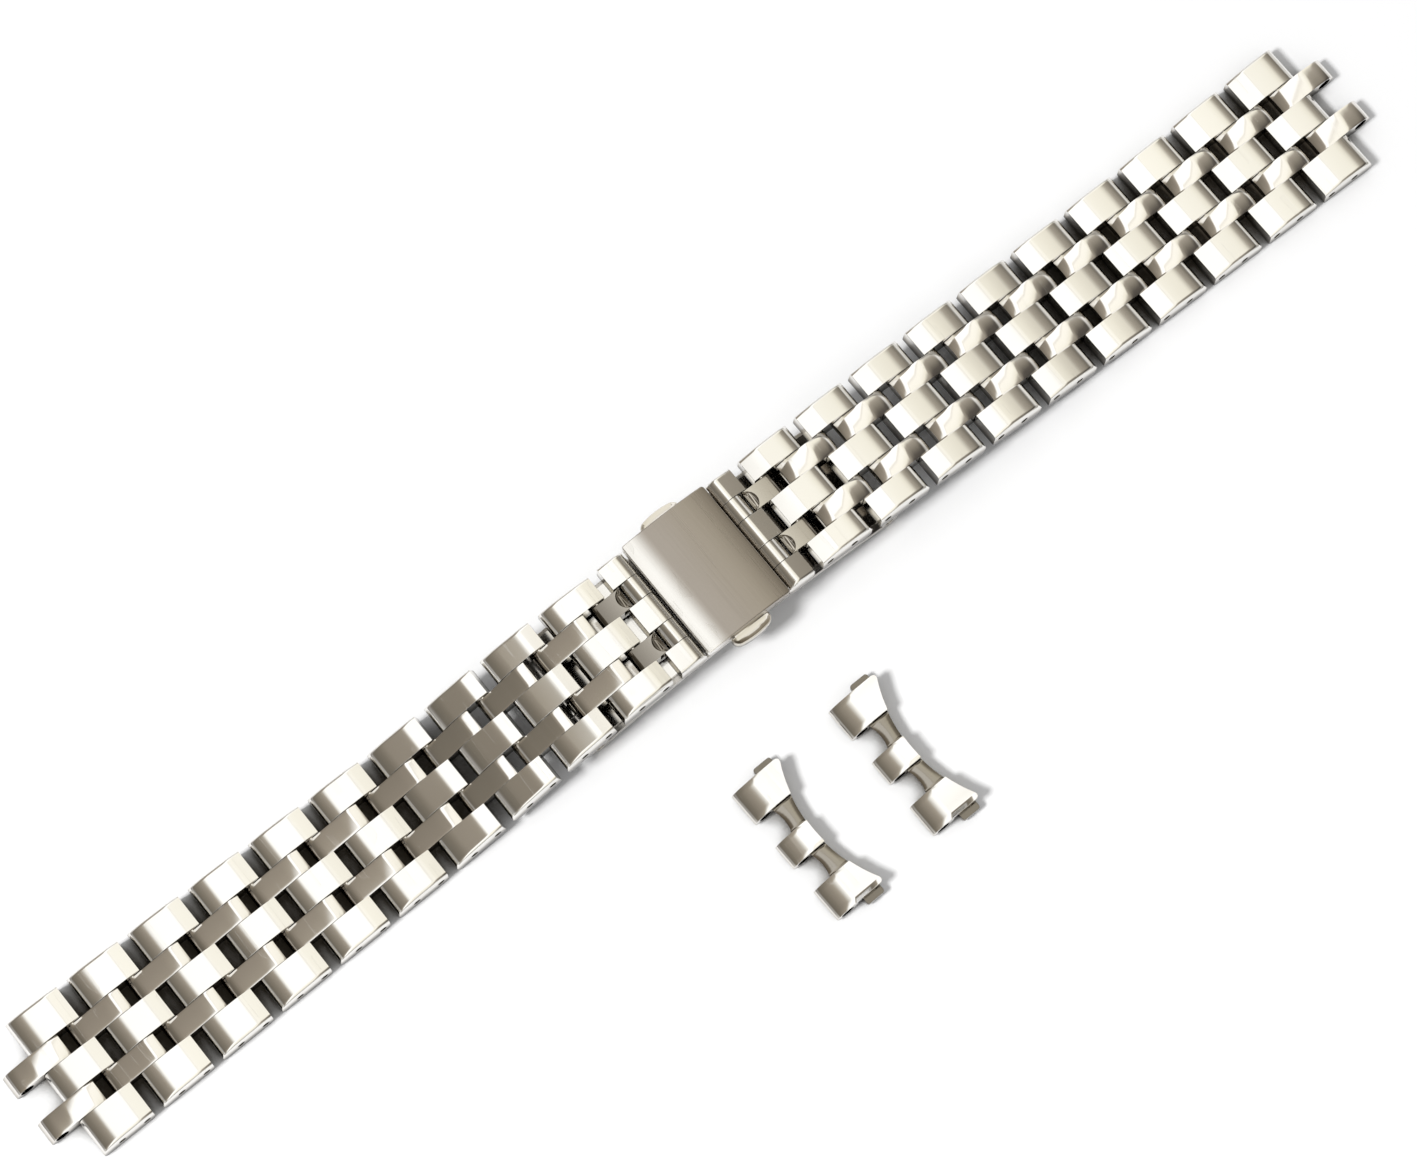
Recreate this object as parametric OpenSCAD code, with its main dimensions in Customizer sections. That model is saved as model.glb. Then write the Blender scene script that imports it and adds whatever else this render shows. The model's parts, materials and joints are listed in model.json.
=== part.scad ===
// Steel watch bracelet: five rows of bricks, a butterfly clasp with two push buttons,
// and two loose end links. X runs along the bracelet, Y across it, Z points up.
// The origin is the middle of the pad under the closed clasp.

/* [Bracelet] */
// Link and bridge pairs on each side of the clasp
pair_count = 10; // [4:1:10]
// Length of a three-brick link
link_len = 6.5; // [6:0.1:7]
// Gap between the facing ends of two links
link_gap = 1.2; // [0.9:0.1:1.6]
// Thickness of a three-brick link
link_t = 2.8; // [2.6:0.1:3.2]
// Distance between the two pins of a link
link_span = 3.2; // [2.8:0.1:3.4]
// Distance from a link's inner end to its inner pin
link_nose = 0.95; // [0.85:0.05:1.2]
// Radius of the crown along a link's top
link_crown_r = 16; // [10:1:40]
// Length of the bevel at a link's inner end
bevel_len = 1.7; // [1:0.1:2]
// Drop of that bevel
bevel_drop = 0.2; // [0.1:0.05:0.4]
// Radius that rolls a link's top down at its outer end
roll_r = 1.2; // [0.4:0.1:1.4]
// Radius of the lower ends of a link
heel_r = 0.5; // [0.2:0.1:0.8]
// Width of the middle row
middle_w = 3.4; // [2.8:0.1:4]
// Width of the second and fourth rows
bridge_w = 2.5; // [2.2:0.1:3]
// Width of an outer row beside the clasp
outer_w_clasp = 2.85; // [2.4:0.05:3.4]
// Width of an outer row at the lug end
outer_w_lug = 4.2; // [3.4:0.1:4.8]
// Radius on the long outer edge of the outer rows
edge_r = 0.5; // [0.2:0.1:0.8]
// Thickness of a two-brick bridge
bridge_t = 2.6; // [2.4:0.1:2.8]
// Gap between the facing ends of two bridges
bridge_gap = 1.0; // [0.8:0.1:1.4]
// Distance from a bridge's outer pin to its outer end
bridge_tail = 0.95; // [0.85:0.05:1.2]
// Radius of the crown across a bridge
bridge_crown_r = 3.2; // [2.5:0.1:8]
// Radius of a bridge's outer end and lower corners
bridge_end_r = 0.85; // [0.4:0.05:0.9]
// Length of the bevel at a bridge's inner end
bridge_bevel_len = 1; // [0.6:0.1:1.2]
// Drop of that bevel
bridge_bevel_drop = 0.3; // [0.1:0.05:0.4]
// Radius of a bridge's inner upper edge
bridge_rim_r = 0.3; // [0.1:0.05:0.4]

/* [Pins] */
// Radius of a link pin
pin_r = 0.4; // [0.35:0.01:0.45]
// Depth of a pin's end below the side of the bracelet
pin_recess = 0.15; // [0.05:0.05:0.4]
// Radius of the spring bar hole at the lug ends
bar_hole_r = 0.8; // [0.7:0.05:0.9]
// Metal beyond the spring bar hole
bar_wall = 0.55; // [0.4:0.05:0.8]

/* [Clasp] */
// Width of the cover plate along the bracelet
cover_w = 10.9; // [9:0.1:12]
// Length of the cover plate across the bracelet
cover_l = 14.7; // [13.5:0.1:16]
// Thickness of the cover plate at its edges
cover_edge_t = 0.9; // [0.6:0.1:1.2]
// Radius of the cover plate's arch
cover_arch_r = 22; // [14:1:60]
// Reach of the cover plate past the frame, along the bracelet
cover_lip_x = 0.35; // [0.2:0.05:0.6]
// Reach of the cover plate past the frame, across the bracelet
cover_lip_y = 0.75; // [0.6:0.05:0.9]
// Distance from the clasp's middle to an end hinge
end_hinge_x = 6.8; // [6.8:0.1:7.4]
// Radius of the end hinge's knuckles
end_knuckle_r = 1.3; // [1.1:0.05:1.3]
// Distance from an end hinge to the gap before the first link
end_body_len = 2.65; // [2.6:0.05:3]
// Drop of an end piece's tongues below its top
tongue_drop = 0.45; // [0.3:0.05:0.6]
// Depth of the scoops in those tongues
scoop_depth = 0.6; // [0.3:0.1:0.9]
// Distance from the clasp's middle to a base hinge
base_hinge_x = 19.5; // [18:0.5:22]
// Radius of the base hinge's knuckles
base_knuckle_r = 1.1; // [0.9:0.05:1.1]
// Radius of the clasp's hinge pins
hinge_pin_r = 0.5; // [0.4:0.05:0.6]
// Thickness of the base plate
base_t = 0.9; // [0.7:0.1:1]
// Height that the base arches over the table
base_rise = 3; // [2.4:0.1:3.6]
// Width of the base plate
base_w = 13.6; // [12:0.1:14]
// Length of the flat pad under the base plate, along the bracelet
pad_len = 7; // [5:0.5:7]
// Width of that pad
pad_w = 8; // [6:0.5:12]
// Width of a blade
blade_w = 12.4; // [11:0.1:13]
// Thickness of a blade
blade_t = 0.8; // [0.6:0.05:0.8]
// Width of a blade's knuckle at the base hinge
blade_knuckle_w = 5; // [4:0.5:6]
// Thickness of the frame's walls
frame_wall = 0.9; // [0.6:0.1:1]
// Thickness of the rib across the frame's middle
rib_t = 0.8; // [0.6:0.1:1.2]
// Width of a button's head
button_w = 4.9; // [4:0.1:5.6]
// Width that a button's stem loses to its head
stem_inset = 1; // [0.6:0.1:1.4]
// Height of a button
button_h = 1.3; // [1:0.1:1.4]
// Distance from a button's top to the top of the frame
button_drop = 0.35; // [0.2:0.05:0.5]
// How far a button stands out from the cover plate
button_out = 1.2; // [0.9:0.1:1.6]
// Travel of a button
button_travel = 0.6; // [0.4:0.05:0.7]

/* [Fall to the table] */
// Run of the left half before it begins to fall
fall_start = 8; // [4:1:12]
// Length over which the left half falls
fall_left = 28; // [26:1:36]
// Length over which the right half falls
fall_right = 62; // [50:1:70]

/* [End links] */
// Width of an end link
end_link_w = 17.0; // [16:0.1:17.8]
// Radius of the watch case that an end link fits
case_r = 17; // [15:0.5:20]
// Depth of an end link on its middle line
end_link_depth = 4.15; // [3.9:0.05:5]
// Outer radius of its knuckle tubes
tube_r = 1.4; // [1.3:0.05:1.5]
// Radius of the spring bar's way through the tubes
tube_hole_r = 0.8; // [0.7:0.05:0.9]
// Width of the middle tube
tube_middle_w = 2.95; // [2.6:0.05:3.2]
// Width of an outer tube
tube_outer_w = 3.85; // [3.5:0.05:4.1]
// Thickness of the folded sheet
sheet_t = 0.6; // [0.4:0.05:0.7]
// Step down from the top to the floors between the tubes
floor_step = 0.7; // [0.4:0.1:0.9]
// Distance from the tubes' backs to the floors
notch_depth = 2.25; // [2.2:0.05:2.6]
// Width of the open seam under the tubes
seam_w = 0.9; // [0.6:0.1:1]
// Distance from the tubes' backs to the side tabs
tab_x = 3.5; // [3:0.1:4]
// Length of a side tab
tab_len = 2.3; // [1.5:0.1:2.4]
// Reach of a side tab past the sheet
tab_out = 0.8; // [0.4:0.1:1]
// Height of a side tab
tab_h = 0.8; // [0.5:0.1:1]

/* [Fits] */
// Gap between the sides of neighbouring rows
side_gap = 0.06; // [0.04:0.01:0.1]
// Radial clearance where a pin turns
run_fit = 0.05; // [0.03:0.01:0.08]
// Radial clearance where a pin is fixed
press_gap = 0.01; // [0.01:0.005:0.02]
// Clearance between moving clasp parts
part_gap = 0.15; // [0.12:0.01:0.2]
// Joint line between fixed clasp parts
seat_gap = 0.02; // [0.01:0.01:0.05]

/* [Hidden] */
$fn = 64;
wide_fn = 720;
SIDES = ["right", "left"];
ENDS = ["back", "front"];
function two(n) = n < 10 ? str("0", n) : str(n);
function link_name(side, i) = str("link_", side, "_", two(i));
function bridge_name(side, i) = str("bridge_", side, "_", two(i));

STEEL = [0.80, 0.79, 0.76];
BRIGHT = [0.88, 0.87, 0.84];
SATIN = [0.68, 0.65, 0.61];
SPRING = [0.55, 0.56, 0.58];

// Lengths along the chain
pitch = link_len + link_gap;
bridge_span = pitch - link_span;
bridge_len = pitch - bridge_gap;
bridge_nose = bridge_len - bridge_span - bridge_tail;
link_tail = link_len - link_nose - link_span;
end_reach = end_body_len + link_gap / 2 + link_nose;
bar_tail = bar_hole_r + bar_wall;

// Rows across the chain, as distances from the middle line
row_half = middle_w / 2;
bridge_inner_y = row_half + side_gap;
bridge_outer_y = bridge_inner_y + bridge_w;
bridge_y = bridge_inner_y + bridge_w / 2;
outer_inner_y = bridge_outer_y + side_gap;
clasp_half_w = outer_inner_y + outer_w_clasp;
lug_half_w = outer_inner_y + outer_w_lug;

// Levels of the clasp. The pad under the base plate is at 0.
pad_t = 0.4;
floor_z = -base_rise;
base_under_z = pad_t / 2;
base_hinge_z = floor_z + base_knuckle_r;
base_sag = base_under_z - floor_z;
base_r = (base_hinge_x * base_hinge_x + base_sag * base_sag) / (2 * base_sag);
base_top_z = base_under_z + base_t;
blade_under_z = base_top_z + part_gap;
blade_top_z = blade_under_z + blade_t;
blade_arch_r = base_r + blade_top_z - base_under_z;
function blade_drop(x) = blade_arch_r - sqrt(blade_arch_r * blade_arch_r - x * x);
end_hinge_z = blade_top_z - blade_drop(end_hinge_x - end_knuckle_r) + part_gap / 2 + end_knuckle_r;
frame_top_z = end_hinge_z + end_knuckle_r - cover_edge_t;
cover_rise = cover_arch_r - sqrt(cover_arch_r * cover_arch_r - cover_w * cover_w / 4);
frame_len = cover_w - 2 * cover_lip_x;
frame_w = cover_l - 2 * cover_lip_y;
button_z = frame_top_z - button_drop - button_h / 2;
flange_t = 0.7;
stem_w = button_w - stem_inset;

// Each half falls from the clasp to the table on a smooth slope, the left one more steeply.
lying_z = floor_z + link_t / 2;
last_pin = 2 * pair_count;
function fall_from(side) = side == "left" ? fall_start : 0;
function fall_len(side) = side == "left" ? fall_left : fall_right;
function segment(k) = k == 0 ? end_reach : k % 2 == 1 ? link_span : bridge_span;
function run_to(k) = k == 0 ? 0 : run_to(k - 1) + segment(k - 1);
function swell(side, k) = let (s = run_to(k) + segment(k) / 2 - fall_from(side))
    s > 0 && s < fall_len(side) ? sin(180 * s / fall_len(side)) : 0;
function fall(side, a, k = 0) = k > last_pin ? 0 : segment(k) * sin(a * swell(side, k)) + fall(side, a, k + 1);
function steepest(side, a, tries) = tries == 0 ? a
    : steepest(side, a * (end_hinge_z - lying_z) / fall(side, a), tries - 1);
right_deg = steepest("right", 8, 4);
left_deg = steepest("left", 16, 4);
function slope(side, k) = (side == "left" ? left_deg : right_deg) * swell(side, k);
function pin_x(side, k) = k == 0 ? end_hinge_x : pin_x(side, k - 1) + segment(k - 1) * cos(slope(side, k - 1));
function pin_z(side, k) = k == 0 ? end_hinge_z : pin_z(side, k - 1) - segment(k - 1) * sin(slope(side, k - 1));

// Widening of the outer rows from the clasp to the lug end
taper_run = run_to(last_pin + 1) - end_reach;
function half_w(k) = clasp_half_w + (lug_half_w - clasp_half_w) * (run_to(k) - end_reach) / taper_run;
taper_deg = atan((lug_half_w - clasp_half_w) / taper_run);

// Where the end links lie: X and Y of the middle of the tubes' backs, and the turn in degrees
end_link_places = [[1.4, -27.35, 0.7], [-12.05, -28.0, 1.2]];

module on_side(side)
    if (side == "right") children();
    else mirror([1, 0, 0]) children();

module on_end(end)
    if (end == "back") children();
    else mirror([0, 1, 0]) children();

// A rod along Y through x = 0 and z = 0
module rod(r, half_len)
    rotate([90, 0, 0]) cylinder(r = r, h = 2 * half_len, center = true);

// A profile drawn in X and Z, drawn out along Y from y0 to y1
module across(y0, y1)
    translate([0, y1, 0]) rotate([90, 0, 0]) linear_extrude(y1 - y0) children();

// What a rounded corner leaves over. The corner points away from the origin.
module corner_cut(r)
    difference() {
        translate([-r, -r]) square(2 * r);
        translate([-r, -r]) circle(r);
        translate([-3 * r, -r]) square([2 * r, 2 * r]);
        translate([-r, -3 * r]) square([2 * r, 2 * r]);
    }

// Drop of a link's crown at a distance from its middle
function crown_drop(x) = link_crown_r - sqrt(link_crown_r * link_crown_r - x * x);

// Side view of a link brick, from its inner pin
module link_profile() {
    x0 = -link_nose;
    x1 = link_span + link_tail;
    mid = (x0 + x1) / 2;
    end_z = link_t / 2 - crown_drop(link_len / 2);
    bevel_z = link_t / 2 - crown_drop(link_len / 2 - bevel_len);
    low_z = end_z - bevel_drop;
    difference() {
        intersection() {
            translate([x0, -link_t / 2]) square([link_len, link_t]);
            translate([mid, link_t / 2 - link_crown_r]) circle(link_crown_r, $fn = wide_fn);
        }
        translate([x1, end_z]) corner_cut(roll_r);
        translate([x1, -link_t / 2]) mirror([0, 1]) corner_cut(heel_r);
        translate([x0, -link_t / 2]) rotate(180) corner_cut(heel_r);
        polygon([
            [x0 - bevel_len, 2 * low_z - bevel_z],
            [x0 + bevel_len, bevel_z],
            [x0 + bevel_len, link_t],
            [x0 - bevel_len, link_t]
        ]);
    }
}

// Side view of a bridge brick, from its inner pin
module bridge_profile(tail)
    difference() {
        translate([-bridge_nose, -bridge_t / 2]) square([bridge_nose + bridge_span + tail, bridge_t]);
        for (up = [0, 1]) mirror([0, up])
            translate([bridge_span + tail, bridge_t / 2]) corner_cut(bridge_end_r);
        translate([-bridge_nose, -bridge_t / 2]) rotate(180) corner_cut(bridge_end_r);
        translate([-bridge_nose, bridge_t / 2 - bridge_bevel_drop]) mirror([1, 0]) corner_cut(bridge_rim_r);
        polygon([
            [-bridge_nose - bridge_bevel_len, bridge_t / 2 - 2 * bridge_bevel_drop],
            [bridge_bevel_len - bridge_nose, bridge_t / 2],
            [bridge_bevel_len - bridge_nose, bridge_t],
            [-bridge_nose - bridge_bevel_len, bridge_t]
        ]);
    }

// Cuts the long outer side to the taper and rounds its upper edge. half is the half width at x = 0.
module outer_side_cut(half)
    translate([0, half, 0]) rotate([0, 0, taper_deg]) {
        translate([-link_len, 0, -link_t]) cube([3 * link_len, link_t, 2 * link_t]);
        translate([-link_len, 0, link_t / 2]) rotate([90, 0, 90]) linear_extrude(3 * link_len)
            corner_cut(edge_r);
    }

module link(side, i) {
    k = 2 * i - 1;
    half = half_w(k);
    pin_half = half - pin_recess;
    color(STEEL) on_side(side) translate([pin_x(side, k), 0, pin_z(side, k)]) rotate([0, slope(side, k), 0]) {
        difference() {
            across(-row_half, row_half) link_profile();
            for (x = [0, link_span]) translate([x, 0, 0]) rod(pin_r + press_gap, link_len);
        }
        for (flip = [0, 1]) mirror([0, flip, 0]) difference() {
            across(outer_inner_y, half + edge_r) link_profile();
            outer_side_cut(half);
            for (x = [0, link_span]) translate([x, 0, 0]) rod(pin_r + press_gap, 2 * half);
        }
        for (x = [0, link_span]) translate([x, 0, 0]) rod(pin_r, pin_half);
    }
}

module bridge(side, i) {
    k = 2 * i;
    last = i == pair_count;
    tail = last ? bar_tail : bridge_tail;
    outer_r = last ? bar_hole_r : pin_r + run_fit;
    color(BRIGHT) on_side(side) translate([pin_x(side, k), 0, pin_z(side, k)]) rotate([0, slope(side, k), 0])
        for (flip = [0, 1]) mirror([0, flip, 0]) difference() {
            intersection() {
                across(bridge_inner_y, bridge_outer_y) bridge_profile(tail);
                translate([-pitch, bridge_y, bridge_t / 2 - bridge_crown_r]) rotate([0, 90, 0])
                    cylinder(r = bridge_crown_r, h = 3 * pitch);
            }
            rod(pin_r + run_fit, 2 * bridge_outer_y);
            translate([bridge_span, 0, 0]) rod(outer_r, 2 * bridge_outer_y);
        }
}

// A band that follows the base plate's arch, between two heights on the middle line
module arched_band(z0, z1, x0, x1, half)
    intersection() {
        translate([0, 0, base_under_z - base_r]) difference() {
            rod(base_r + z1 - base_under_z, half, $fn = wide_fn);
            rod(base_r + z0 - base_under_z, 2 * half, $fn = wide_fn);
        }
        translate([x0, -half, floor_z]) cube([x1 - x0, 2 * half, base_hinge_x]);
    }

module base_plate() {
    stop_x = base_hinge_x - base_knuckle_r - part_gap;
    color(SATIN) {
        difference() {
            union() {
                arched_band(base_under_z, base_top_z, -base_hinge_x, base_hinge_x, base_w / 2);
                for (sx = [-1, 1]) translate([sx * base_hinge_x, 0, base_hinge_z])
                    rod(base_knuckle_r, base_w / 2);
                translate([-pad_len / 2, -pad_w / 2, 0]) cube([pad_len, pad_w, base_under_z + base_t / 2]);
            }
            for (sx = [-1, 1]) {
                translate([sx * base_hinge_x, 0, base_hinge_z]) {
                    rod(hinge_pin_r + press_gap, base_w);
                    cube([2 * (base_hinge_x - stop_x), blade_knuckle_w + 2 * part_gap, 4 * base_knuckle_r],
                        center = true);
                }
            }
        }
    }
}

module base_hinge_pin(side)
    color(STEEL) on_side(side) translate([base_hinge_x, 0, base_hinge_z])
        rod(hinge_pin_r, base_w / 2 - pin_recess);

module blade(side) {
    inner_x = end_hinge_x - end_knuckle_r;
    stop_x = base_hinge_x - base_knuckle_r - part_gap;
    post_w = 1.8;
    post_z = blade_top_z - blade_drop(end_hinge_x) - blade_t / 2;
    color(SATIN) on_side(side) difference() {
        union() {
            arched_band(blade_under_z, blade_top_z, inner_x, stop_x, blade_w / 2);
            arched_band(blade_under_z, blade_top_z, inner_x, base_hinge_x, blade_knuckle_w / 2);
            translate([base_hinge_x, 0, base_hinge_z]) rod(base_knuckle_r, blade_knuckle_w / 2);
            for (flip = [0, 1]) mirror([0, flip, 0]) translate([end_hinge_x, bridge_y, 0]) {
                translate([0, 0, end_hinge_z]) rod(end_knuckle_r, bridge_w / 2);
                translate([-post_w / 2, -bridge_w / 2, post_z])
                    cube([post_w, bridge_w, end_hinge_z - post_z]);
            }
        }
        translate([base_hinge_x, 0, base_hinge_z]) rod(hinge_pin_r + run_fit, base_w);
        translate([end_hinge_x, 0, end_hinge_z]) rod(hinge_pin_r + run_fit, base_w);
    }
}

// From the end hinge: full-height bodies in rows 1, 3 and 5, low tongues in rows 2 and 4
module end_piece(side) {
    body_x = end_body_len - link_gap / 2;
    web_x = end_knuckle_r + part_gap;
    web_reach = 0.5;
    tongue_x = end_reach + link_span - bridge_nose - bridge_gap;
    tongue_top = end_knuckle_r - tongue_drop;
    tongue_end_r = 0.6;
    scoop_x = end_knuckle_r - part_gap / 2;
    color(STEEL) on_side(side) translate([end_hinge_x, 0, end_hinge_z]) rotate([0, slope(side, 0), 0])
        difference() {
            union() {
                for (row = [[-clasp_half_w, -outer_inner_y], [-row_half, row_half],
                        [outer_inner_y, clasp_half_w]])
                    across(row[0], row[1]) union() {
                        circle(end_knuckle_r);
                        translate([0, -end_knuckle_r]) square([body_x, 2 * end_knuckle_r]);
                    }
                translate([web_x, -outer_inner_y - web_reach, -end_knuckle_r])
                    cube([body_x - web_x, 2 * (outer_inner_y + web_reach), end_knuckle_r + tongue_top]);
                for (flip = [0, 1]) mirror([0, flip, 0])
                    across(bridge_inner_y, bridge_outer_y) difference() {
                        translate([web_x, -end_knuckle_r])
                            square([tongue_x - web_x, end_knuckle_r + tongue_top]);
                        translate([tongue_x, tongue_top]) corner_cut(tongue_end_r);
                        translate([tongue_x, -end_knuckle_r]) mirror([0, 1]) corner_cut(tongue_end_r);
                    }
            }
            for (flip = [0, 1]) mirror([0, flip, 0])
                translate([scoop_x, bridge_y, tongue_top - scoop_depth]) cylinder(r = bridge_w / 2, h = link_t);
            rod(hinge_pin_r + press_gap, link_len * 2);
            translate([end_reach, 0, 0]) rod(pin_r + run_fit, link_len * 2);
            for (flip = [0, 1]) mirror([0, flip, 0]) translate([-link_t, clasp_half_w, end_knuckle_r])
                rotate([90, 0, 90]) linear_extrude(link_len) corner_cut(edge_r);
        }
}

module end_hinge_pin(side)
    color(STEEL) on_side(side) translate([end_hinge_x, 0, end_hinge_z])
        rod(hinge_pin_r, clasp_half_w - pin_recess);

// The housing between the base plate and the cover plate, with a notch for each button
module clasp_frame() {
    inner_l = frame_len - 2 * frame_wall;
    inner_w = frame_w - 2 * frame_wall;
    notch_w = stem_w + 2 * part_gap;
    notch_z = button_z - button_h / 2 - part_gap;
    color(SATIN) difference() {
        translate([-frame_len / 2, -frame_w / 2, 0]) cube([frame_len, frame_w, frame_top_z]);
        translate([0, 0, base_under_z - base_r]) rod(base_r + base_t + seat_gap, frame_w, $fn = wide_fn);
        for (end = ENDS) on_end(end) {
            translate([-inner_l / 2, rib_t / 2, -frame_top_z])
                cube([inner_l, (inner_w - rib_t) / 2, 3 * frame_top_z]);
            translate([-notch_w / 2, rib_t / 2, notch_z]) cube([notch_w, frame_w, frame_top_z]);
        }
    }
}

module cover_plate()
    color(SATIN) translate([0, 0, frame_top_z + seat_gap]) intersection() {
        translate([-cover_w / 2, -cover_l / 2, 0]) cube([cover_w, cover_l, cover_edge_t + cover_rise]);
        translate([0, 0, cover_edge_t + cover_rise - cover_arch_r])
            rod(cover_arch_r, cover_l, $fn = wide_fn);
    }

// A head outside the frame, a stem through its notch and a flange inside
module button(end) {
    head_y = frame_w / 2 + button_travel + part_gap / 2;
    tip_y = cover_l / 2 + button_out;
    inner_y = frame_w / 2 - frame_wall - part_gap;
    flange_w = button_w + 0.2;
    corner_r = 0.5;
    color(STEEL) on_end(end) translate([0, 0, button_z - button_h / 2]) {
        difference() {
            translate([-button_w / 2, head_y, 0]) cube([button_w, tip_y - head_y, button_h]);
            for (flip = [0, 1]) mirror([flip, 0, 0]) translate([button_w / 2, tip_y, -button_h])
                linear_extrude(3 * button_h) corner_cut(corner_r);
        }
        translate([-stem_w / 2, inner_y - flange_t, 0])
            cube([stem_w, head_y - inner_y + flange_t, button_h]);
        translate([-flange_w / 2, inner_y - flange_t, 0]) cube([flange_w, flange_t, button_h]);
    }
}

// A coil along Y between the frame's rib and the button's flange
module button_spring(end) {
    wire_r = 0.13;
    coil_r = 0.42;
    turns = 4;
    steps = 20;
    sides = 6;
    y0 = rib_t / 2 + wire_r + seat_gap;
    y1 = frame_w / 2 - frame_wall - part_gap - flange_t - wire_r - seat_gap;
    rings = turns * steps;
    points = [for (n = [0:rings]) let (a = 360 * n / steps, y = y0 + (y1 - y0) * n / rings)
        for (j = [0:sides - 1]) let (r = coil_r + wire_r * cos(360 * j / sides))
            [r * cos(a), y + wire_r * sin(360 * j / sides), r * sin(a)]];
    walls = [for (n = [0:rings - 1]) for (j = [0:sides - 1])
        let (a = n * sides + j, b = n * sides + (j + 1) % sides)
            each [[a, a + sides, b + sides], [a, b + sides, b]]];
    caps = [[for (j = [0:sides - 1]) j], [for (j = [sides - 1:-1:0]) rings * sides + j]];
    color(SPRING) on_end(end) translate([0, 0, button_z]) polyhedron(points, concat(walls, caps));
}

// One folded sheet. The tubes' backs are at x = 0, the watch case is on the +X side, z = 0 is the table.
module end_link(place) {
    top_z = 2 * tube_r;
    half = end_link_w / 2;
    outer_y = half - tube_outer_w;
    middle_y = tube_middle_w / 2;
    case_x = end_link_depth + case_r;
    floor_top = top_z - floor_step;
    color(BRIGHT) translate([place[0], place[1], floor_z]) rotate([0, 0, place[2]]) difference() {
        union() {
            for (row = [[-half, -outer_y], [-middle_y, middle_y], [outer_y, half]]) {
                translate([tube_r, (row[0] + row[1]) / 2, tube_r]) rod(tube_r, (row[1] - row[0]) / 2);
                translate([tube_r, row[0], top_z - sheet_t])
                    cube([half, row[1] - row[0], sheet_t]);
            }
            translate([notch_depth, -half, floor_top - sheet_t]) cube([half, end_link_w, sheet_t]);
            intersection() {
                translate([case_x, 0, 0]) cylinder(r = case_r + sheet_t, h = floor_top, $fn = wide_fn);
                translate([0, -half, 0]) cube([half, end_link_w, floor_top]);
            }
            for (y = [-half, -outer_y - sheet_t, -middle_y, middle_y - sheet_t, outer_y, half - sheet_t])
                translate([notch_depth, y, floor_top - sheet_t]) cube([half, sheet_t, floor_step + sheet_t]);
            for (flip = [0, 1]) mirror([0, flip, 0]) {
                translate([tab_x, half - sheet_t, sheet_t]) cube([half, sheet_t, floor_top - sheet_t]);
                translate([tab_x, half - sheet_t, sheet_t]) cube([tab_len, tab_out + sheet_t, tab_h]);
            }
        }
        translate([case_x, 0, -top_z]) cylinder(r = case_r, h = 3 * top_z, $fn = wide_fn);
        translate([tube_r, 0, tube_r]) rod(tube_hole_r, end_link_w);
        translate([tube_r - seam_w / 2, -end_link_w, -tube_r]) cube([seam_w, 2 * end_link_w, 2 * tube_r]);
    }
}

base_plate();
clasp_frame();
cover_plate();
end_link(end_link_places[0]);  // end_link_a
end_link(end_link_places[1]);  // end_link_b
for (s = SIDES) {
    base_hinge_pin(s);
    blade(s);
    end_piece(s);
    end_hinge_pin(s);
}
for (e = ENDS) {
    button(e);
    button_spring(e);
}
for (s = SIDES) for (i = [1:pair_count]) {
    link(s, i);
    bridge(s, i);
}
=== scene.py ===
import json
import math
import random

import bmesh
import bpy
from mathutils import Matrix, Vector


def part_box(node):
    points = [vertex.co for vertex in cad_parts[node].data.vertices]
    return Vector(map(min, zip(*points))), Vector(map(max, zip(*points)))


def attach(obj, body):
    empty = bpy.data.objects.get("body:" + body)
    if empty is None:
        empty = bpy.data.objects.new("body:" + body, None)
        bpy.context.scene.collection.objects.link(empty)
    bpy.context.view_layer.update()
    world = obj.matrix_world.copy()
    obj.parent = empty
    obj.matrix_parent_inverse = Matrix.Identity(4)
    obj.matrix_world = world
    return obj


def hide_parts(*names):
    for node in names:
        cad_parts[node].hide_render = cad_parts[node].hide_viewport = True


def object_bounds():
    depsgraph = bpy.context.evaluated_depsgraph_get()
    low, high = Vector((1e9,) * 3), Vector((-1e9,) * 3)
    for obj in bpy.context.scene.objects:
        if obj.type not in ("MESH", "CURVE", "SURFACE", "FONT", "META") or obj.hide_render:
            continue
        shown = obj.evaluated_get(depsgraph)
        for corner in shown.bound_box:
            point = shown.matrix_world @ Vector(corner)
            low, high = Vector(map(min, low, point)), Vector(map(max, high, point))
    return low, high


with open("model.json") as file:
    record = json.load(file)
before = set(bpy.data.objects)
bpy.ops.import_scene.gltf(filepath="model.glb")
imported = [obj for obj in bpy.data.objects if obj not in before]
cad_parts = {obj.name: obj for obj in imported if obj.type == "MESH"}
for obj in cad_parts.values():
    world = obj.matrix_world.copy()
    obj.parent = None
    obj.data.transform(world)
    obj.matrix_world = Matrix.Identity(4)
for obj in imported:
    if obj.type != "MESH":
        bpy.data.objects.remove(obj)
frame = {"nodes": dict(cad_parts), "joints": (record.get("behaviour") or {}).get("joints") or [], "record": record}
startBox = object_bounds()
mm = 0.001
pairCount = 10  # links on each side of the clasp, and as many bridges
sides = ("right", "left")
dice = random.Random(7)  # each brick's own small shift of tone

jointAt = {j["name"]: Vector(j["pos_m"]) for j in frame["joints"] if j.get("pos_m")}
mountAt = {m["name"]: m for m in frame["record"]["mounts"]}


# Places along the chain. Pin 0 is the end hinge, and the last one is the spring bar's hole
def pinPoint(side, k):
    if k == 0:
        return jointAt["end_piece_%s_swivel" % side]
    if k > 2 * pairCount:
        return Vector(mountAt["bar_hole_" + side]["pos_m"])
    return jointAt["pin_%s_%02d" % (side, k)]


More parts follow.
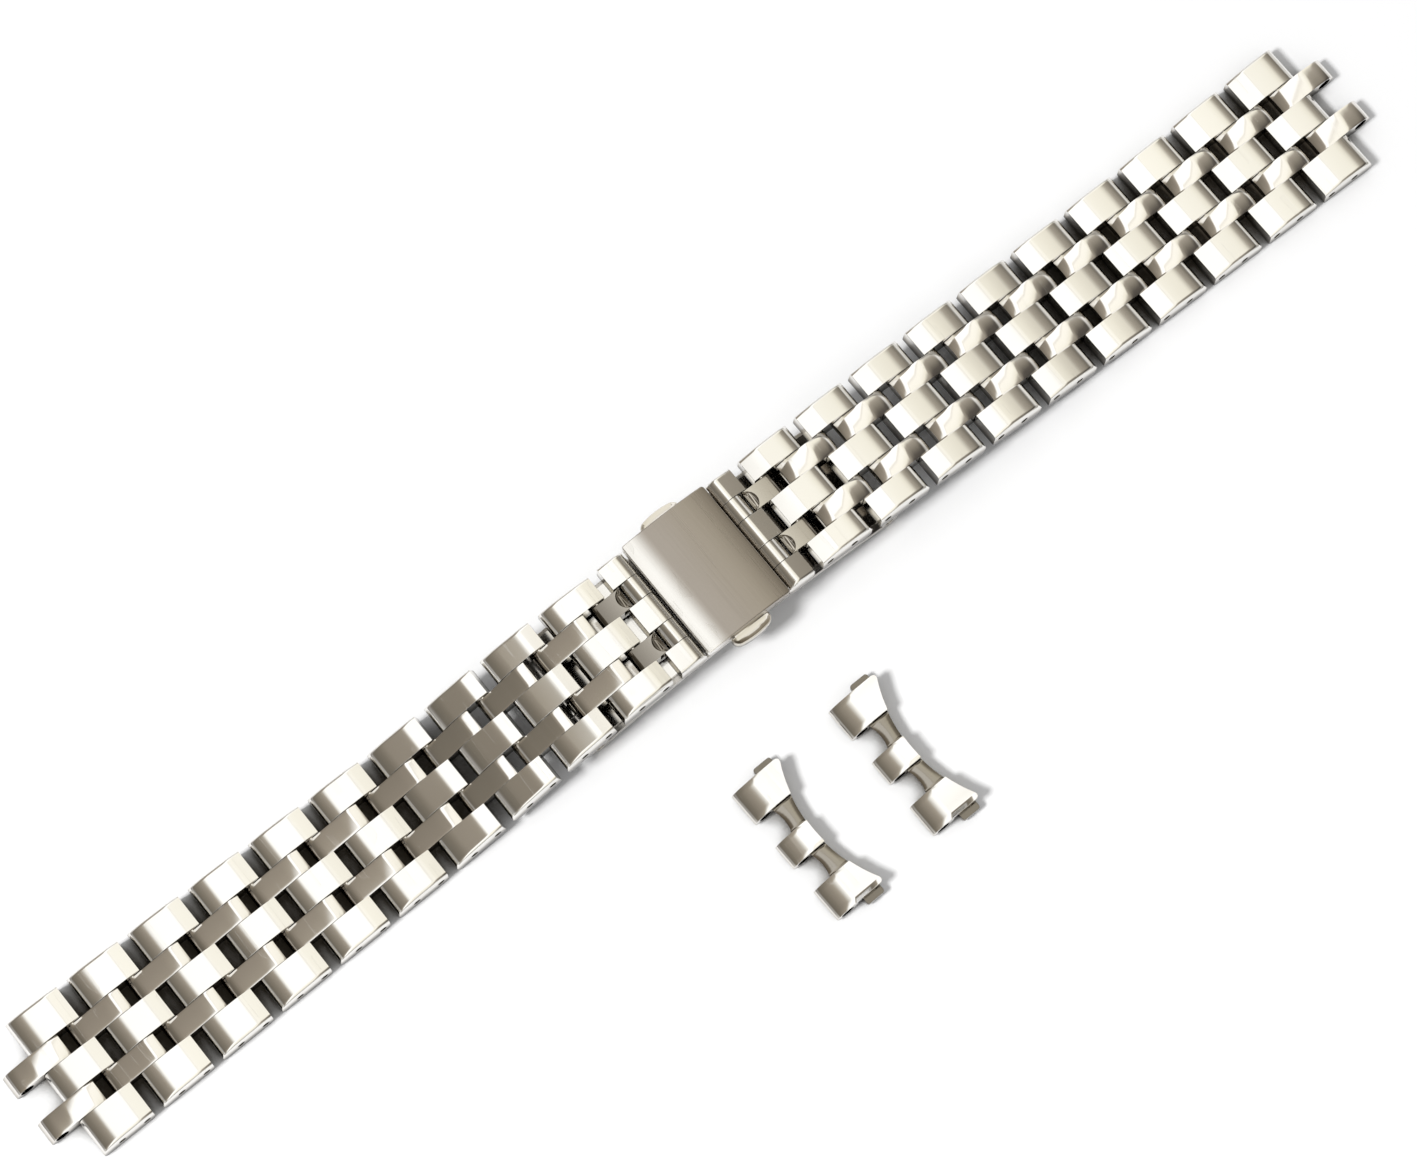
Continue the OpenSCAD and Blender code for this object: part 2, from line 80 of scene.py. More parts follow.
# From millimetres in a piece's own space (x outward along the chain, z up) to its place in metres
def placeOf(start, toward):
    along = (toward - start).normalized()
    up = Vector((0, 0, 1))
    up = (up - along * up.dot(along)).normalized()
    across = up.cross(along)
    turn = Matrix((along, across, up)).transposed().to_4x4()
    return Matrix.Translation(start) @ turn @ Matrix.Scale(mm, 4)


def standing(z, degrees=0):
    turned = Matrix.Rotation(math.radians(degrees), 4, "Z")
    return Matrix.Translation((0, 0, z)) @ turned @ Matrix.Scale(mm, 4)


# Sizes are in mm, and places along a piece count outward from its first pin.
# A top's slopes are pairs: a place, and the degrees that the top falls outward there
link = {
    "nose": 0.95,
    "span": 3.2,  # pin to pin
    "tail": 2.35,
    "thick": 2.8,
    "gap": 1.2,
    "slopes": {
        "right": [
            (-0.95, -12), (1.0, -10.8), (1.5, 0.6), (3.4, 2.8),
            (4.4, 10), (4.95, 25), (5.32, 48), (5.55, 76),
        ],
        "left": [
            (-0.95, -12), (0.2, -10), (0.9, 1), (3.3, 2.5),
            (4.3, 13), (4.9, 23), (5.3, 48), (5.55, 76),
        ],
    },
    # The top is cut here, so that it can bend
    "cuts": (
        0.2, 0.55, 0.9, 1.2, 1.5, 2.4, 3.2, 3.5, 3.8, 4.05,
        4.3, 4.55, 4.8, 4.95, 5.1, 5.2, 5.3, 5.38, 5.47,
    ),
    "heel": 0.5,
    "halfMiddle": 1.7,
    "outerFrom": 4.32,
    "sideRound": 0.42,
    "edge": 0.12,
    "holeDeep": 0.6,
}
bridge = {
    "nose": 1.25,
    "span": 4.5,
    "tail": 0.95,
    "barTail": 1.35,  # the last bridge's, beyond the spring bar
    "thick": 2.6,
    "from": 1.76,
    "to": 4.26,
    "endR": 0.85,
    "dome": {"right": 4.0, "left": 20.0},
    "domeLast": 8.0,
    "edge": 0.1,
    "strips": 9,
    "cuts": (
        -0.9, -0.6, -0.35, -0.15, 0.05, 1.2, 2.4, 2.8, 3.2,
        3.6, 4.1, 4.4, 4.65, 4.85, 5.05, 5.2, 5.33,
    ),
    "skin": 0.002,  # between the two halves of the bar's hole
}
# The bridges lean a little to one side of the whole bracelet, so each half has its own slopes.
# The key's second value is True for the last bridge
bridgeSlopes = {
    ("right", False): [
        (-1.25, -26), (-0.6, -25), (0, -9), (2.3, -7), (2.7, 12),
        (4.3, 13), (4.7, 24), (5.1, 46), (5.45, 78),
    ],
    ("left", False): [
        (-1.25, -10), (-0.35, -9), (0.05, 10), (4.3, 10.5),
        (4.8, 25), (5.15, 45), (5.45, 75),
    ],
    ("right", True): [
        (-1.25, -26), (-0.6, -25), (0, -8), (2.6, -4), (3, 10),
        (4.8, 11), (5.2, 25), (5.5, 48), (5.85, 75),
    ],
    ("left", True): [
        (-1.25, -10), (-0.3, -9), (0.1, 1), (2.3, 1), (2.7, 9),
        (4.7, 10), (5.1, 24), (5.45, 45), (5.85, 75),
    ],
}
pin = {"r": 0.4, "hole": 0.43, "recess": 0.15, "rim": 0.06, "barHole": 0.8, "facets": 24, "tone": 0.5}


def box(bm, x0, x1, y0, y1, z0, z1):
    size = Matrix.Diagonal((x1 - x0, y1 - y0, z1 - z0, 1))
    middle = Matrix.Translation(((x0 + x1) / 2, (y0 + y1) / 2, (z0 + z1) / 2))
    return bmesh.ops.create_cube(bm, size=1, matrix=middle @ size)["verts"]


def near(a, b):
    return abs(a - b) < 1e-4


def edgesWhere(bm, test):
    return [e for e in bm.edges if test(e.verts[0].co) and test(e.verts[1].co)]


def bevel(bm, edges, offset, segments):
    bmesh.ops.bevel(
        bm,
        geom=edges,
        offset=offset,
        offset_type="OFFSET",
        affect="EDGES",
        segments=segments,
        profile=0.5,
        clamp_overlap=True,
        material=-1,
    )


def sharpEdges(bm, degrees):
    limit = math.radians(degrees)
    return [e for e in bm.edges if len(e.link_faces) == 2 and e.calc_face_angle(0) > limit]


def cutAt(bm, point, normal):
    geom = list(bm.verts) + list(bm.edges) + list(bm.faces)
    bmesh.ops.bisect_plane(bm, geom=geom, dist=1e-5, plane_co=point, plane_no=normal)


# How far a round top of this radius lies below its crown
def crownDrop(x, r):
    return r - math.sqrt(r * r - x * x)


# How far a top with these slopes lies below its own highest line, at any place along it
def fallOf(slopes, steps=80):
    start, length = slopes[0][0], slopes[-1][0] - slopes[0][0]

    def slopeAt(x):
        for (a, s), (b, t) in zip(slopes, slopes[1:]):
            if x <= b:
                return math.tan(math.radians(s + (t - s) * (x - a) / (b - a)))
        return math.tan(math.radians(slopes[-1][1]))

    drops = [0.0]
    for n in range(steps):
        drops.append(drops[-1] + slopeAt(start + length * (n + 0.5) / steps) * length / steps)
    least = min(drops)

    def fall(x):
        at = min(max((x - start) / length, 0), 1) * steps
        n = min(int(at), steps - 1)
        return drops[n] + (drops[n + 1] - drops[n]) * (at - n) - least

    return fall


def lowerTop(bm, top, fall):
    for v in bm.verts:
        if v.co.z > 0.1:
            v.co.z -= fall(v.co.x, v.co.y) * min(v.co.z / top, 1)


# Adds what the material needs to know about a place on a piece: its depth, which sets its painted shade, and its
# own tone
def label(bm, top, depth, tone, addedShade=0.0):
    deep = bm.verts.layers.float.new("paintedShadeDepth")
    own = bm.verts.layers.float.new("ownTone")
    for v in bm.verts:
        v[deep] = min(max((top - v.co.z) / depth + addedShade, 0), 1)
        v[own] = tone


def addTo(whole, part, place):
    part.transform(place)
    carrier = bpy.data.meshes.new("carrier")
    part.to_mesh(carrier)
    part.free()
    whole.from_mesh(carrier)
    bpy.data.meshes.remove(carrier)


# A link pin across the chain, its rims softened
def linkPin(x, reach):
    bm = bmesh.new()
    r = pin["r"]
    across = Matrix.Translation((x, 0, 0)) @ Matrix.Rotation(math.pi / 2, 4, "X")
    bmesh.ops.create_cone(
        bm, cap_ends=True, segments=pin["facets"], radius1=r, radius2=r, depth=2 * reach, matrix=across
    )
    bevel(bm, sharpEdges(bm, 60), pin["rim"], 2)
    label(bm, r, 2 * r, pin["tone"])
    return bm


# Opens round holes in a flat side of a brick and gives them a wall
def drill(bm, holes, sideY, outward, depth):
    def onSide(face):
        middle = face.calc_center_median()
        return face.normal.y * outward > 0.99 and near(middle.y, sideY(middle.x))

    flat = [f for f in bm.faces if onSide(f)]
    rim = [e for f in flat for e in f.edges if sum(g in flat for g in e.link_faces) == 1]
    bmesh.ops.delete(bm, geom=flat, context="FACES_ONLY")
    rims = []
    for x, z, r in holes:
        turn = Matrix.Translation((x, 0, z)) @ Matrix.Rotation(math.pi / 2, 4, "X")
        ring = bmesh.ops.create_circle(bm, segments=pin["facets"], radius=r, matrix=turn)["verts"]
        for v in ring:
            v.co.y = sideY(v.co.x)
        rims.append(list({e for v in ring for e in v.link_edges}))
    ringEdges = [e for ring in rims for e in ring]
    loose = [e for e in bm.edges if not e.link_faces and e not in ringEdges]
    bmesh.ops.delete(bm, geom=loose, context="EDGES")
    edges = rim + ringEdges
    bmesh.ops.triangle_fill(bm, use_beauty=True, use_dissolve=False, edges=edges, normal=(0, outward, 0))
    for edge in edges:
        edge.smooth = False
    for ring in rims:
        wall = bmesh.ops.extrude_edge_only(bm, edges=ring)["geom"]
        floor = [v for v in wall if isinstance(v, bmesh.types.BMVert)]
        bmesh.ops.translate(bm, verts=floor, vec=(0, -outward * depth, 0))
        bmesh.ops.edgeloop_fill(bm, edges=[e for e in wall if isinstance(e, bmesh.types.BMEdge)])


linkFall = {side: fallOf(link["slopes"][side]) for side in sides}


# An outer brick widens outward by the taper, and only its outer side shows the pins
def linkBrick(side, y0, y1, taper=0.0, outerSide=0, holes=()):
    bm = bmesh.new()
    x0, x1 = -link["nose"], link["span"] + link["tail"]
    top = link["thick"] / 2
    outer = y1 if outerSide > 0 else y0
    box(bm, x0, x1, y0, y1, -top, top)
    low = edgesWhere(bm, lambda p: near(p.z, -top) and (near(p.x, x1) or near(p.x, x0)))
    bevel(bm, [e for e in low if near(e.verts[0].co.x, e.verts[1].co.x)], link["heel"], 4)
    if outerSide:
        bevel(bm, edgesWhere(bm, lambda p: near(p.y, outer) and near(p.z, top)), link["sideRound"], 5)
    for x in link["cuts"]:
        cutAt(bm, (x, 0, 0), (1, 0, 0))
    lowerTop(bm, top, lambda x, y: linkFall[side](x))
    if outerSide:
        for v in bm.verts:
            share = (v.co.y - y0) / (y1 - y0) if outerSide > 0 else (y1 - v.co.y) / (y1 - y0)
            v.co.y += outerSide * share * taper * (v.co.x - x1)
    bm.normal_update()
    bevel(bm, sharpEdges(bm, 40), link["edge"], 3)
    if holes:
        bm.normal_update()
        drill(bm, holes, lambda x: outer + outerSide * taper * (x - x1), outerSide, link["holeDeep"])
    bmesh.ops.recalc_face_normals(bm, faces=bm.faces)
    label(bm, top, link["thick"], dice.random())
    return bm


def bridgeBrick(side, last):
    bm = bmesh.new()
    x0, x1 = -bridge["nose"], bridge["span"] + (bridge["barTail"] if last else bridge["tail"])
    top = bridge["thick"] / 2
    half = (bridge["to"] - bridge["from"]) / 2
    box(bm, x0, x1, -half, half, -top, top)
    low = edgesWhere(bm, lambda p: near(p.z, -top) and (near(p.x, x1) or near(p.x, x0)))
    bevel(bm, [e for e in low if near(e.verts[0].co.x, e.verts[1].co.x)], bridge["endR"], 6)
    longer = bridge["barTail"] - bridge["tail"] if last else 0
    for x in bridge["cuts"]:
        cutAt(bm, (x + longer if x > bridge["span"] else x, 0, 0), (1, 0, 0))
    for n in range(1, bridge["strips"]):
        cutAt(bm, (0, -half + 2 * half * n / bridge["strips"], 0), (0, 1, 0))
    along = fallOf(bridgeSlopes[side, last])
    dome = bridge["domeLast"] if last else bridge["dome"][side]
    lowerTop(bm, top, lambda x, y: along(x) + crownDrop(y, dome))
    bm.normal_update()
    bevel(bm, sharpEdges(bm, 45), bridge["edge"], 3)
    if last:
        barHole = (bridge["span"], 0, pin["barHole"])
        for out in (-1, 1):
            bm.normal_update()
            drill(bm, [barHole], lambda x, y=out * half: y, out, half - bridge["skin"])
    bmesh.ops.recalc_face_normals(bm, faces=bm.faces)
    label(bm, top, bridge["thick"], dice.random())
    return bm


def meshOf(bm, name):
    mesh = bpy.data.meshes.new(name)
    bm.to_mesh(mesh)
    bm.free()
    return mesh


def finishPiece(bm, name, cadNode, body, material):
    mesh = meshOf(bm, name)
    mesh.polygons.foreach_set("use_smooth", [True] * len(mesh.polygons))
    mesh.materials.append(material)
    obj = bpy.data.objects.new(name, mesh)
    bpy.context.scene.collection.objects.link(obj)
    weigh = obj.modifiers.new("weigh", "WEIGHTED_NORMAL")
    weigh.keep_sharp = True
    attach(obj, body)
    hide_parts(cadNode)
    return obj


# Materials: the shared effects first, each a node group
def newGroup(name, inputs, outputs):
    group = bpy.data.node_groups.new(name, "ShaderNodeTree")
    for socketName, kind, value in inputs:
        socket = group.interface.new_socket(socketName, in_out="INPUT", socket_type=kind)
        if value is not None:
            socket.default_value = value
    for socketName, kind in outputs:
        group.interface.new_socket(socketName, in_out="OUTPUT", socket_type=kind)
    return group, group.nodes.new("NodeGroupInput"), group.nodes.new("NodeGroupOutput")


def node(tree, kind, **values):
    made = tree.nodes.new(kind)
    for key, value in values.items():
        setattr(made, key, value)
    return made


def maths(tree, kind, a, b=None, c=None, clamp=False):
    made = node(tree, "ShaderNodeMath", operation=kind, use_clamp=clamp)
    for n, value in enumerate((a, b, c)):
        if value is None:
            continue
        if isinstance(value, (int, float)):
            made.inputs[n].default_value = value
        else:
            tree.links.new(value, made.inputs[n])
    return made.outputs[0]


# From start to end, with soft turns, while the value goes from low to high
def eased(tree, value, low, high, start=0.0, end=1.0):
    made = node(tree, "ShaderNodeMapRange", interpolation_type="SMOOTHSTEP")
    made.inputs["From Min"].default_value = low
    made.inputs["From Max"].default_value = high
    made.inputs["To Min"].default_value = start
    made.inputs["To Max"].default_value = end
    tree.links.new(value, made.inputs["Value"])
    return made.outputs["Result"]


def blend(tree, kind, factor, a, b):
    made = node(tree, "ShaderNodeMix", data_type=kind)
    tree.links.new(factor, made.inputs["Factor"])
    for socketName, value in (("A", a), ("B", b)):
        if isinstance(value, bpy.types.NodeSocket):
            tree.links.new(value, made.inputs[socketName])
        else:
            made.inputs[socketName].default_value = value
    return made.outputs["Result"]


def noise(tree, vector, scale, detail=3.0, rough=0.5):
    made = node(tree, "ShaderNodeTexNoise")
    made.inputs["Scale"].default_value = scale
    made.inputs["Detail"].default_value = detail
    made.inputs["Roughness"].default_value = rough
    tree.links.new(vector, made.inputs["Vector"])
    return made.outputs["Fac"]


def scratchGroup():
    group, start, end = newGroup(
        "microScratches",
        [("Vector", "NodeSocketVector", None), ("Amount", "NodeSocketFloat", 0.5)],
        [("Height", "NodeSocketFloat"), ("Mask", "NodeSocketFloat")],
    )
    marks = []
    for degrees, scale in ((25, 900), (-38, 1150), (80, 800)):
        rotate = node(group, "ShaderNodeMapping")
        rotate.inputs["Rotation"].default_value = (0, 0, math.radians(degrees))
        rotate.inputs["Scale"].default_value = (1, 0.035, 1)
        group.links.new(start.outputs["Vector"], rotate.inputs["Vector"])
        lines = noise(group, rotate.outputs["Vector"], scale, 2.0, 0.4)
        marks.append(maths(group, "SMOOTH_MIN", maths(group, "GREATER_THAN", lines, 0.68), 1.0, 0.1))
    both = maths(group, "MAXIMUM", maths(group, "MAXIMUM", marks[0], marks[1]), marks[2])
    patch = maths(group, "GREATER_THAN", noise(group, start.outputs["Vector"], 160, 2.0), 0.47)
    mask = maths(group, "MULTIPLY", maths(group, "MULTIPLY", both, patch), start.outputs["Amount"])
    group.links.new(mask, end.inputs["Mask"])
    group.links.new(maths(group, "MULTIPLY", mask, -1.0), end.inputs["Height"])
    return group


def grainGroup():
    group, start, end = newGroup(
        "brushedGrain",
        [
            ("Vector", "NodeSocketVector", None),
            ("Along", "NodeSocketVector", (1, 0.02, 1)),
            ("Amount", "NodeSocketFloat", 0.5),
        ],
        [("Height", "NodeSocketFloat"), ("Shade", "NodeSocketFloat")],
    )
    scaled = node(group, "ShaderNodeVectorMath", operation="MULTIPLY")
    group.links.new(start.outputs["Vector"], scaled.inputs[0])
    group.links.new(start.outputs["Along"], scaled.inputs[1])
    fine = noise(group, scaled.outputs[0], 9000, 3.0, 0.6)
    broad = noise(group, scaled.outputs[0], 2600, 2.0, 0.5)
    mixed = maths(group, "ADD", maths(group, "MULTIPLY", fine, 0.6), maths(group, "MULTIPLY", broad, 0.4))
    centred = maths(group, "SUBTRACT", mixed, 0.5)
    group.links.new(maths(group, "MULTIPLY", centred, start.outputs["Amount"]), end.inputs["Height"])
    group.links.new(maths(group, "MULTIPLY", centred, start.outputs["Amount"]), end.inputs["Shade"])
    return group


# How far a place looks round an edge: 0 on a flat, 1 on an edge
def edgeGroup():
    group, start, end = newGroup(
        "edgeWear",
        [("Radius", "NodeSocketFloat", 0.0002), ("Vector", "NodeSocketVector", None)],
        [("Edge", "NodeSocketFloat"), ("Normal", "NodeSocketVector")],
    )
    soft = node(group, "ShaderNodeBevel", samples=4)
    group.links.new(start.outputs["Radius"], soft.inputs["Radius"])
    shape = node(group, "ShaderNodeNewGeometry")
    meet = node(group, "ShaderNodeVectorMath", operation="DOT_PRODUCT")
    group.links.new(soft.outputs["Normal"], meet.inputs[0])
    group.links.new(shape.outputs["True Normal"], meet.inputs[1])
    bend = maths(group, "SUBTRACT", 1.0, meet.outputs["Value"])
    grainy = noise(group, start.outputs["Vector"], 1500, 3.0, 0.6)
    edge = maths(group, "MULTIPLY", maths(group, "MULTIPLY", bend, 6.0), grainy, clamp=True)
    group.links.new(edge, end.inputs["Edge"])
    group.links.new(soft.outputs["Normal"], end.inputs["Normal"])
    return group


groups = {"scratch": scratchGroup(), "grain": grainGroup(), "edge": edgeGroup()}


def effect(tree, key, place, values):
    made = node(tree, "ShaderNodeGroup", node_tree=groups[key])
    for socketName, value in values.items():
        made.inputs[socketName].default_value = value
    tree.links.new(place, made.inputs["Vector"])
    return made


# Smears, scratches and grain make the polish uneven
def unevenRoughness(tree, look, place, scratch, grain):
    smear = noise(tree, place, 220, 3.0)
    rough = maths(tree, "MULTIPLY_ADD", smear, look["smear"], look["rough"] - look["smear"] / 2)
    rough = maths(tree, "ADD", rough, maths(tree, "MULTIPLY", scratch.outputs["Mask"], 0.12))
    return maths(tree, "ADD", rough, maths(tree, "MULTIPLY", grain.outputs["Shade"], 0.2), clamp=True)


# Painted shade: darker and browner with depth. Also a little different on each brick, brighter on worn edges
def steelColour(tree, look, place, grain, edge):
    depth = node(tree, "ShaderNodeAttribute", attribute_name="paintedShadeDepth").outputs["Fac"]
    own = node(tree, "ShaderNodeAttribute", attribute_name="ownTone").outputs["Fac"]
    # Painted shade: the colour falls from full to shadeLeast as the depth goes from shadeFrom to shadeTo
    fall = eased(tree, depth, look["shadeFrom"], look["shadeTo"], 1.0, look["shadeLeast"])
    vary = maths(tree, "MULTIPLY_ADD", own, 0.05, 0.96)
    vary = maths(tree, "ADD", vary, maths(tree, "MULTIPLY", grain.outputs["Shade"], 0.35))
    vary = maths(tree, "ADD", vary, maths(tree, "MULTIPLY", edge.outputs["Edge"], 0.1))
    shadedColour = [channel * tint for channel, tint in zip(look["colour"], look["shadeTint"])]
    tone = blend(tree, "VECTOR", fall, shadedColour, look["colour"])
    # A painted reflection: the plain bright colour up to a place along X
    if look["paintedReflection"]:
        alongX = node(tree, "ShaderNodeSeparateXYZ")
        tree.links.new(place, alongX.inputs[0])
        reflectionFrom, reflectionTo = look["paintedReflection"]
        pastReflection = eased(tree, alongX.outputs["X"], reflectionFrom * mm, reflectionTo * mm)
        tone = blend(tree, "VECTOR", pastReflection, plain["colour"], tone)
    colour = node(tree, "ShaderNodeVectorMath", operation="SCALE")
    tree.links.new(tone, colour.inputs[0])
    tree.links.new(maths(tree, "MULTIPLY", fall, vary), colour.inputs["Scale"])
    return colour.outputs[0]


# One recipe for every steel: what differs is in the dictionary that goes in
def steel(look):
    material = bpy.data.materials.new(look["name"])
    material.use_nodes = True
    tree = material.node_tree
    tree.nodes.clear()
    out = node(tree, "ShaderNodeOutputMaterial")
    shader = node(tree, "ShaderNodeBsdfPrincipled")
    tree.links.new(shader.outputs[0], out.inputs["Surface"])
    shader.inputs["Metallic"].default_value = 1.0

    place = node(tree, "ShaderNodeTexCoord").outputs["Object"]
    scratch = effect(tree, "scratch", place, {"Amount": look["scratch"]})
    grain = effect(tree, "grain", place, {"Along": look["along"], "Amount": look["grain"]})
    edge = effect(tree, "edge", place, {"Radius": look["edgeRadius"] * mm})
    tree.links.new(unevenRoughness(tree, look, place, scratch, grain), shader.inputs["Roughness"])
    tree.links.new(steelColour(tree, look, place, grain, edge), shader.inputs["Base Color"])

    bump = node(tree, "ShaderNodeBump")
    bump.inputs["Strength"].default_value = look["bump"]
    bump.inputs["Distance"].default_value = 0.00002
    height = maths(tree, "ADD", scratch.outputs["Height"], grain.outputs["Height"])
    tree.links.new(height, bump.inputs["Height"])
    if look["soft"]:
        tree.links.new(edge.outputs["Normal"], bump.inputs["Normal"])
    tree.links.new(bump.outputs["Normal"], shader.inputs["Normal"])
    return material


plain = {
    "scratch": 0.35,
    "grain": 0.0,
    "along": (1, 0.02, 1),  # the grain runs where this is small
    "rough": 0.13,
    "smear": 0.05,
    "shadeFrom": 0.22,  # depths where the painted shade starts and ends
    "shadeTo": 0.85,
    "shadeLeast": 0.05,
    "colour": (0.86, 0.845, 0.815),
    "shadeTint": (1.0, 0.9, 0.76),
    "paintedReflection": None,  # mm along X: a painted reflection in the plain colour, then the material's own colour
    "bump": 0.25,
    "edgeRadius": 0.12,
    "soft": False,  # rounds the edges of a mesh that has none
}
steels = {
    "link": steel({**plain, "name": "linkSteel"}),
    "bridge": steel({**plain, "name": "bridgeSteel", "rough": 0.1, "colour": (0.87, 0.85, 0.82)}),
    # The cover's dark colour and its bright strip at the left are painted reflection; its grain is real brushing
    "cover": steel(
        {
            **plain,
            "name": "coverSteel",
            "rough": 0.24,
            "grain": 0.7,
            "along": (1, 0.015, 1),
            "colour": (0.35, 0.315, 0.275),
            "shadeLeast": 0.5,
            "paintedReflection": (-4.6, -2.4),
        }
    ),
    "endLink": steel({**plain, "name": "endLinkSteel", "rough": 0.12, "shadeTo": 0.9, "shadeLeast": 0.15}),
    # Buttons: a steeper painted shade down their sides, which gives a dark outline
    "button": steel(
        {
            **plain,
            "name": "buttonSteel",
            "shadeFrom": 0.06,
            "shadeTo": 0.4,
            "shadeLeast": 0.1,
            "colour": (0.7, 0.67, 0.62),
        }
    ),
    "blade": steel({**plain, "name": "bladeSteel", "rough": 0.14, "grain": 0.2, "along": (0.02, 1, 1)}),
    "pin": steel(
        {**plain, "name": "pinSteel", "rough": 0.25, "grain": 0.3, "along": (1, 1, 0.02), "soft": True}
    ),
    "clasp": steel(
        {
            **plain,
            "name": "claspSteel",
            "rough": 0.28,
            "grain": 0.5,
            "along": (0.02, 1, 1),
            "colour": (0.62, 0.60, 0.57),
            "soft": True,
        }
    ),
    "spring": steel(
        {
            **plain,
            "name": "springSteel",
            "rough": 0.32,
            "colour": (0.5, 0.51, 0.53),
            "soft": True,
            "shadeLeast": 0.8,
        }
    ),
}

# The chain. Bricks that repeat are made once and copied
middleMeshes = {}
for side in sides:
    middleMeshes[side] = meshOf(linkBrick(side, -link["halfMiddle"], link["halfMiddle"]), "middleBrick")
bridgeMeshes = {key: meshOf(bridgeBrick(*key), "bridgeBrick") for key in bridgeSlopes}


def copyOf(mesh):
    bm = bmesh.new()
    bm.from_mesh(mesh)
    return bm


# The outer rows widen evenly from the first link's width to the last one's
boxes = {s: [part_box("link_%s_%02d" % (s, n + 1)) for n in range(pairCount)] for s in sides}
firstHalf = boxes["right"][0][1].y / mm
lastHalf = boxes["right"][-1][1].y / mm
pitch = link["nose"] + link["span"] + link["tail"] + link["gap"]
taper = (lastHalf - firstHalf) / (pitch * (pairCount - 1))
bridgeRowY = (bridge["from"] + bridge["to"]) / 2


def makeLink(side, n):
    name = "link_%s_%02d" % (side, n)
    half = boxes[side][n - 1][1].y / mm
    place = placeOf(pinPoint(side, 2 * n - 1), pinPoint(side, 2 * n))
    pinsAt = (0, link["span"])
    holes = [(x, 0, pin["hole"]) for x in pinsAt]
    whole = bmesh.new()
    addTo(whole, copyOf(middleMeshes[side]), place)
    addTo(whole, linkBrick(side, link["outerFrom"], half, taper, 1, holes), place)
    addTo(whole, linkBrick(side, -half, -link["outerFrom"], taper, -1, holes), place)
    for x in pinsAt:
        reach = half + taper * (x - link["span"] - link["tail"]) - pin["recess"]
        addTo(whole, linkPin(x, reach), place)
    finishPiece(whole, "brick_" + name, name, name, steels["link"])


def makeBridge(side, n):
    name = "bridge_%s_%02d" % (side, n)
    place = placeOf(pinPoint(side, 2 * n), pinPoint(side, 2 * n + 1))
    whole = bmesh.new()
    for row in (-1, 1):
        shift = Matrix.Translation((0, row * bridgeRowY, 0))
        addTo(whole, copyOf(bridgeMeshes[side, n == pairCount]), place @ shift)
    finishPiece(whole, "brick_" + name, name, name, steels["bridge"])


for side in sides:
    for n in range(1, pairCount + 1):
        makeLink(side, n)
        makeBridge(side, n)
print("chain made")

endPiece = {
    "knuckle": 1.3,
    "bodyTo": 2.05,
    "webFrom": 1.45,
    "tongueTo": 5.15,
    "tongueTop": 0.85,
    "tongueEdge": 0.07,
    "scoopAt": 1.225,
    "scoopR": 1.25,
    "scoopDeep": 0.13,
    "scoopFacets": 48,
    "overlap": 0.05,
    "halfW": 7.17,
    "sideRound": 0.35,
    "edge": 0.1,
    "tipR": 0.6,
    "leastHalf": 0.01,
    "cuts": (-1.25, -1.12, -0.92, -0.65, -0.33, 0.0, 0.3),
    "slope": {"right": 17.0, "left": 1.0},
    "tongueSlope": 6.0,
    "shadeDepth": 2.4,  # times the knuckle's radius
    "addedShade": {"right": 0.3, "left": 0.42},  # how much more painted shade the tongues get
    "bodyTone": 0.3,
    "tongueTone": 0.2,
}


def endBody(y0, y1, outerSide, slope):
    e = endPiece
    bm = bmesh.new()
    r = e["knuckle"]
    outer = y1 if outerSide > 0 else y0
    box(bm, -r, e["bodyTo"], y0, y1, -r, r)
    if outerSide:
        bevel(bm, edgesWhere(bm, lambda p: near(p.y, outer) and near(p.z, r)), e["sideRound"], 4)
    for x in e["cuts"]:
        cutAt(bm, (x, 0, 0), (1, 0, 0))
    turned = r * math.sin(math.radians(slope))

    # The knuckle's round, cut off where x is past its radius
    def roundDrop(x):
        return r - math.sqrt(max(r * r - x * x, 0))

    def fall(x):
        return roundDrop(min(x, turned)) + max(x - turned, 0) * math.tan(math.radians(slope))

    for v in bm.verts:
        if abs(v.co.z) > 0.1:
            drop = fall(v.co.x) if v.co.z > 0 else roundDrop(min(v.co.x, 0))
            drop = min(drop, r - e["leastHalf"])
            v.co.z -= math.copysign(drop, v.co.z) * min(abs(v.co.z) / r, 1)
    bm.normal_update()
    bevel(bm, sharpEdges(bm, 45), e["edge"], 3)
    bmesh.ops.recalc_face_normals(bm, faces=bm.faces)
    label(bm, r, e["shadeDepth"] * r, e["bodyTone"])
    return bm


